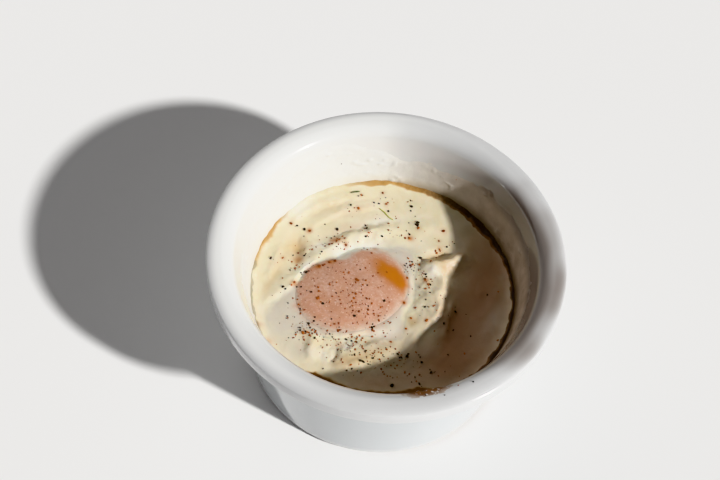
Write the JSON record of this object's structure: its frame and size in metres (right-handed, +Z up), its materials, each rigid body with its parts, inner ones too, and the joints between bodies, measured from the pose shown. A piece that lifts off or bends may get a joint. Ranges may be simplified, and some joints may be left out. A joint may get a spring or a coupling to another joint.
{
  "type": "ramekin of baked egg",
  "caption": "Baked egg in set cream, filling a round white ceramic ramekin that tapers to its foot under a thick rolled lip.",
  "frame": {"origin": "middle of the foot ring, on the surface that the dish stands on", "axes": "+Z up along the dish's axis; the picture looks along +Y and down, with +X to the right"},
  "size_m": [0.1014, 0.1014, 0.0489],
  "materials": {
    "glazed_dish": "gloss",
    "set_cream": "satin",
    "egg_white": "satin",
    "egg_yolk": "satin",
    "pepper": "matte",
    "paprika": "matte",
    "herb": "matte",
    "dried_film": "satin"
  },
  "bodies": {
    "root": {"ramekin": "glazed_dish", "cream": "set_cream", "egg_white": "egg_white", "yolk": "egg_yolk"}
  },
  "joints": []
}
